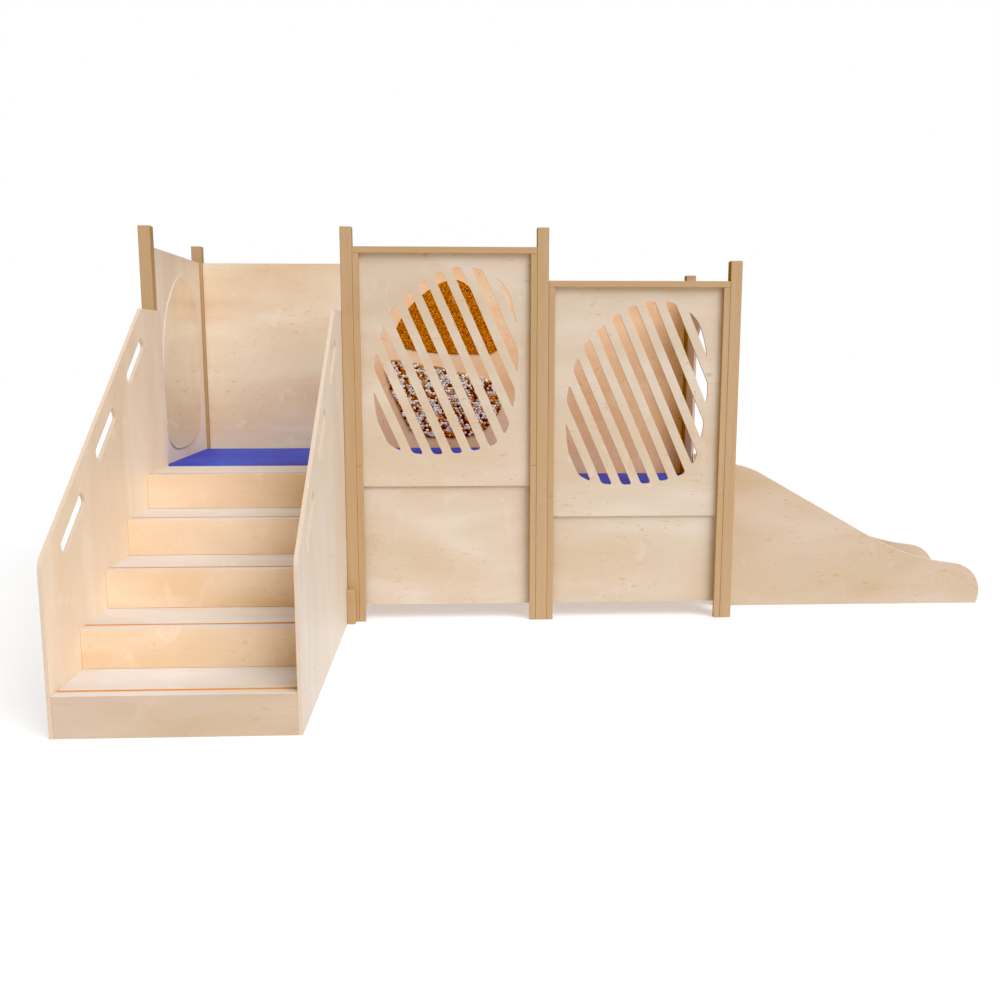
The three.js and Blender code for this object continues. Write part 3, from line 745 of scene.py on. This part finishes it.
def tube_piece(name, ring, radius, look, sides=8):
    """A closed tube through ring, as its own mesh."""
    bm = bmesh.new()
    loops = []
    count = len(ring)
    for k, point in enumerate(ring):
        run = (ring[(k + 1) % count] - ring[k - 1]).normalized()
        across = run.cross(Vector((0, 0, 1))).normalized()
        loops.append([
            bm.verts.new(point + across * radius * math.cos(a) + Vector((0, 0, 1)) * radius * math.sin(a))
            for a in (2 * math.pi * j / sides for j in range(sides))
        ])
    for k in range(count):
        a, b = loops[k], loops[(k + 1) % count]
        for j in range(sides):
            bm.faces.new((a[j], a[(j + 1) % sides], b[(j + 1) % sides], b[j]))
    bmesh.ops.recalc_face_normals(bm, faces=bm.faces[:])
    mesh = bpy.data.meshes.new(name)
    bm.to_mesh(mesh)
    bm.free()
    smooth_by_angle(mesh, angle=60.0)
    write_grain(mesh, (X, Y, Z))
    return new_piece(name, mesh, [look])


for i in (1, 2, 3):
    mat_piece(i)


# ---------------------------------------------------------------- mirror
def mirror_piece():
    low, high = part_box("wall_mirror")
    bm = cad_bmesh("wall_mirror")
    ease_edges(bm, 1.2 * MM, segments=3)
    for f in bm.faces:
        f.material_index = 0 if f.normal.x > 0.97 else 1
    mesh = bpy.data.meshes.new("wall_mirror_plate")
    bm.to_mesh(mesh)
    bm.free()
    smooth_by_angle(mesh, 50.0)
    write_grain(mesh, (Y, Z, X), low.x)
    plate = new_piece(mesh.name, mesh, [MIRROR, MIRROR_EDGE], ("wall_mirror",))
    return weigh_normals(plate)


mirror_piece()


# ---------------------------------------------------------------- touch wall
def front_outline(node):
    """The node's outline on its front face, in order, as (x, z) points."""
    low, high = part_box(node)
    bm = cad_bmesh(node)
    front = max((f for f in bm.faces if f.normal.y < -0.9), key=lambda f: f.calc_area())
    points = [Vector((v.co.x, v.co.z)) for v in front.verts]
    bm.free()
    return points, low, high


def spaced(points, count):
    """The closed outline resampled to count even steps."""
    lengths = [(points[(k + 1) % len(points)] - points[k]).length for k in range(len(points))]
    total, out = sum(lengths), []
    k, gone = 0, 0.0
    for n in range(count):
        want = total * n / count
        while gone + lengths[k] < want:
            gone += lengths[k]
            k += 1
        share = (want - gone) / lengths[k]
        out.append(points[k].lerp(points[(k + 1) % len(points)], share))
    return out


def inside(point, outline):
    hit = False
    for k, a in enumerate(outline):
        b = outline[k - 1]
        if (a.y > point.y) != (b.y > point.y):
            if point.x < (b.x - a.x) * (point.y - a.y) / (b.y - a.y) + a.x:
                hit = not hit
    return hit


CORK_STEPS = 260
CORK_RINGS = 84
CORK_EASE = 1.2 * MM
CORK_LUMP = 1.0 * MM
GRANULES_PER_METRE = 190.0


def cork_piece():
    """A pressed cork pad whose face is lumpy with granules."""
    points, low, high = front_outline("cork_pad")
    outline = spaced(points, CORK_STEPS)
    centre = sum(outline, Vector((0, 0))) / len(outline)
    front, back = low.y + CORK_EASE, high.y
    bm = bmesh.new()
    loops = []
    for r in range(1, CORK_RINGS + 1):
        share = r / CORK_RINGS
        loop = []
        for p in outline:
            q = centre.lerp(p, share)
            lump = noise.voronoi(Vector((q.x, q.y, 0.0)) * GRANULES_PER_METRE)[0][0]
            y = front - CORK_LUMP * (1 - min(1.0, lump * 1.6))
            y += CORK_EASE if r == CORK_RINGS else 0.0
            loop.append(bm.verts.new((q.x, y, q.y)))
        loops.append(loop)
    tip = bm.verts.new((centre.x, front, centre.y))
    count = len(outline)
    for k in range(count):
        bm.faces.new((tip, loops[0][k], loops[0][(k + 1) % count]))
    for a, b in zip(loops, loops[1:]):
        for k in range(count):
            bm.faces.new((a[k], b[k], b[(k + 1) % count], a[(k + 1) % count]))
    rear = [bm.verts.new((v.co.x, back, v.co.z)) for v in loops[-1]]
    for k in range(count):
        bm.faces.new((loops[-1][k], rear[k], rear[(k + 1) % count], loops[-1][(k + 1) % count]))
    bm.faces.new(rear)
    bmesh.ops.recalc_face_normals(bm, faces=bm.faces[:])
    mesh = bpy.data.meshes.new("cork_pad_granules")
    bm.to_mesh(mesh)
    bm.free()
    smooth_by_angle(mesh, angle=55.0)
    write_grain(mesh, (X, Z, Y), shift=(0.0, 0.0))
    return new_piece(mesh.name, mesh, [CORK], ("cork_pad",))


cork_piece()


PEBBLE_STEPS = 120
PEBBLE_DEEP = 7.0 * MM
PEBBLE_PITCH = 13.2 * MM
PEBBLE_MARGIN = 4.0 * MM
ROW_CLOSENESS = 0.87
JITTER = 0.22 * PEBBLE_PITCH


def pebble_piece():
    """A shallow bed with river pebbles set close together."""
    points, low, high = front_outline("pebble_tray")
    outline = spaced(points, PEBBLE_STEPS)
    bed_front = low.y + PEBBLE_DEEP
    bm = bmesh.new()
    face = [bm.verts.new((p.x, bed_front, p.y)) for p in outline]
    rear = [bm.verts.new((p.x, high.y, p.y)) for p in outline]
    count = len(outline)
    bm.faces.new(face)
    bm.faces.new(rear)
    for k in range(count):
        bm.faces.new((face[k], rear[k], rear[(k + 1) % count], face[(k + 1) % count]))
    bmesh.ops.recalc_face_normals(bm, faces=bm.faces[:])
    mesh = bpy.data.meshes.new("pebble_bed")
    bm.to_mesh(mesh)
    bm.free()
    write_grain(mesh, (X, Z, Y), shift=(0.0, 0.0))
    new_piece(mesh.name, mesh, [PEBBLE_BED], ("pebble_tray",))

    draw = random.Random(5)
    row_pitch = PEBBLE_PITCH * ROW_CLOSENESS
    centres = []
    rows = int((high.z - low.z) / row_pitch) + 2
    columns = int((high.x - low.x) / PEBBLE_PITCH) + 2
    middle = Vector(((low.x + high.x) / 2, (low.z + high.z) / 2))
    for r in range(rows):
        for c in range(columns):
            x = low.x + (c + 0.5 * (r % 2)) * PEBBLE_PITCH + draw.uniform(-JITTER, JITTER)
            z = low.z + r * row_pitch + draw.uniform(-JITTER, JITTER)
            place = Vector((x, z))
            out = (place - middle).normalized() * PEBBLE_MARGIN
            if inside(place + out, outline):
                centres.append((x, z))
    ball = bmesh.new()
    bmesh.ops.create_icosphere(ball, subdivisions=2, radius=1.0)
    ball_verts = [v.co.copy() for v in ball.verts]
    ball_faces = [[v.index for v in f.verts] for f in ball.faces]
    ball.free()
    verts, faces, tones = [], [], []
    for x, z in centres:
        long_half = draw.uniform(6.2, 11.0) * MM
        wide_half = long_half * draw.uniform(0.62, 0.92)
        tall_half = draw.uniform(4.0, 5.6) * MM
        spin = draw.uniform(0, math.pi)
        tone = draw.random()
        start = len(verts)
        centre_y = min(bed_front - 0.6 * MM, low.y + tall_half + 0.3 * MM)
        for p in ball_verts:
            lump = 1.0 + 0.10 * noise.noise(p * 1.4 + Vector((x, z, tone)) * 70.0)
            a, b = p.x * long_half * lump, p.z * wide_half * lump
            verts.append((
                x + a * math.cos(spin) - b * math.sin(spin),
                min(centre_y + p.y * tall_half * lump, bed_front + 2.4 * MM),
                z + a * math.sin(spin) + b * math.cos(spin),
            ))
            tones.append(tone)
        faces += [[start + k for k in f] for f in ball_faces]
    mesh = bpy.data.meshes.new("river_pebbles")
    mesh.from_pydata(verts, [], faces)
    mesh.update()
    for polygon in mesh.polygons:
        polygon.use_smooth = True
    write_grain(mesh, (X, Z, Y), shift=(0.0, 0.0))
    store = mesh.attributes.new("tone", "FLOAT", "POINT")
    store.data.foreach_set("value", tones)
    return new_piece(mesh.name, mesh, [PEBBLES])


pebble_piece()

# ---------------------------------------------------------------- screws
# The radius of each kind of screw head, and where the heads sit on their boards. The battens'
# and blocks' heights are above the floor.
BATTEN_SCREW, PANEL_SCREW, BLOCK_SCREW = 3.8 * MM, 3.2 * MM, 3.6 * MM
STAIR_SCREWS_BEHIND = (65 * MM, 249 * MM)
STAIR_SCREW_DROP = 12 * MM
STAIR_BACK_MARGIN = 30 * MM
BATTEN_SCREW_HEIGHTS = {
    2: (1.268, 0.910, 0.555, 0.467, 0.248),
    3: (1.270, 0.913, 0.555, 0.470, 0.248),
}
BATTEN_SCREW_FORWARD = 1 * MM
WINDOW_SCREW_IN_LEFT, WINDOW_SCREW_IN_RIGHT = 76 * MM, 80 * MM
WINDOW_SCREW_UP = 41 * MM
LOWER_SCREW_IN, LOWER_SCREW_DROP = 80 * MM, 86 * MM
BLOCK_SCREW_HEIGHTS = (27 * MM, 110 * MM)

right_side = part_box("stair_side_right")
left_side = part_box("stair_side_left")
side_places = []
for i in range(1, 6):
    low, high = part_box(f"step_{i}")
    for behind in STAIR_SCREWS_BEHIND:
        y = low.y + behind
        if y < right_side[1].y - STAIR_BACK_MARGIN:
            side_places.append((y, high.z - STAIR_SCREW_DROP))
screw_heads("screws_stair_right", [Vector((right_side[1].x, y, z)) for y, z in side_places], (1, 0, 0))
screw_heads("screws_stair_left", [Vector((left_side[0].x, y, z)) for y, z in side_places], (-1, 0, 0))

for bay, heights in BATTEN_SCREW_HEIGHTS.items():
    low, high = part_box(f"front_batten_{bay}_right")
    place_y = (low.y + high.y) / 2 - BATTEN_SCREW_FORWARD
    inner_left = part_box(f"front_batten_{bay}_left")[1].x
    for side, inner_x, outward in (("right", low.x, -1), ("left", inner_left, 1)):
        places = [Vector((inner_x, place_y, z)) for z in heights]
        screw_heads(f"screws_batten_{bay}_{side}", places, (outward, 0, 0), BATTEN_SCREW)

for bay in (2, 3):
    low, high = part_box(f"window_panel_{bay}")
    across = (low.x + WINDOW_SCREW_IN_LEFT, high.x - WINDOW_SCREW_IN_RIGHT)
    places = [Vector((x, low.y, low.z + WINDOW_SCREW_UP)) for x in across]
    screw_heads(f"screws_window_{bay}", places, (0, -1, 0), PANEL_SCREW)
    low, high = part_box(f"lower_panel_{bay}")
    across = (low.x + LOWER_SCREW_IN, high.x - LOWER_SCREW_IN)
    places = [Vector((x, low.y, high.z - LOWER_SCREW_DROP)) for x in across]
    screw_heads(f"screws_lower_{bay}", places, (0, -1, 0), PANEL_SCREW)

for side in ("left", "right"):
    low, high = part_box(f"fixing_block_{side}")
    middle = (low.x + high.x) / 2
    places = [Vector((middle, low.y, z)) for z in BLOCK_SCREW_HEIGHTS]
    screw_heads(f"screws_block_{side}", places, (0, -1, 0), BLOCK_SCREW)

# ---------------------------------------------------------------- floor, light and view
FLOOR_GLOW = 0.46


def floor_look():
    look = Look("studio_floor", specular=0.0)
    place = look.node("ShaderNodeTexCoord").outputs["Object"]
    tone = look.noise(place, 0.7, 2.0)
    look.colour(look.ramp(tone, [(0.3, 0.55), (0.7, 0.57)]))
    look.rough(tone, 0.9, 1.0)
    look.shader.inputs["Emission Color"].default_value = (1.0, 1.0, 1.0, 1.0)
    look.shader.inputs["Emission Strength"].default_value = FLOOR_GLOW
    return look.material


floor_mesh = bpy.data.meshes.new("studio_floor")
FLOOR_HALF = 30.0
floor_mesh.from_pydata(
    [(-FLOOR_HALF, -FLOOR_HALF, 0), (FLOOR_HALF, -FLOOR_HALF, 0),
     (FLOOR_HALF, FLOOR_HALF, 0), (-FLOOR_HALF, FLOOR_HALF, 0)], [], [(0, 1, 2, 3)])
floor_mesh.materials.append(floor_look())
floor = bpy.data.objects.new("studio_floor", floor_mesh)
bpy.context.scene.collection.objects.link(floor)

SKY_LIGHT = 0.04
world = bpy.data.worlds.new("studio")
world.use_nodes = True
# The backdrop is plain white to the camera and gives the loft a much dimmer light.
sky = world.node_tree
sky.nodes["Background"].inputs["Color"].default_value = (1.0, 1.0, 1.0, 1.0)
path = sky.nodes.new("ShaderNodeLightPath")
level = sky.nodes.new("ShaderNodeMapRange")
level.inputs["To Min"].default_value = SKY_LIGHT
level.inputs["To Max"].default_value = 1.0
sky.links.new(path.outputs["Is Camera Ray"], level.inputs["Value"])
sky.links.new(level.outputs["Result"], sky.nodes["Background"].inputs["Strength"])
bpy.context.scene.world = world


def soft_sun(name, towards, spread_degrees, strength):
    """A wide even lamp that shines from the direction towards, as a large soft box does."""
    data = bpy.data.lights.new(name, "SUN")
    data.angle = math.radians(spread_degrees)
    data.energy = strength
    lamp = bpy.data.objects.new(name, data)
    lamp.rotation_euler = Vector(towards).to_track_quat("Z", "Y").to_euler()
    bpy.context.scene.collection.objects.link(lamp)
    return lamp


# Each lamp has the direction it shines from, its spread in degrees and its strength.
LAMPS = {
    "key": ((0.55, -0.65, 0.60), 45, 2.35),
    "front": ((-0.15, -0.95, 0.30), 60, 0.15),
    "top": ((0.05, -0.20, 1.00), 75, 1.95),
}
for name, (towards, spread_degrees, strength) in LAMPS.items():
    soft_sun(name, towards, spread_degrees, strength)

view = bpy.context.scene.view_settings
view.view_transform = "Standard"
view.look = "None"
view.exposure = 0.0
view.gamma = 1.0
# A gentle picture grade: the shadows keep their red and lose some blue.
view.use_curve_mapping = True
view.curve_mapping.black_level = (-0.02, 0.03, 0.07)
view.curve_mapping.update()
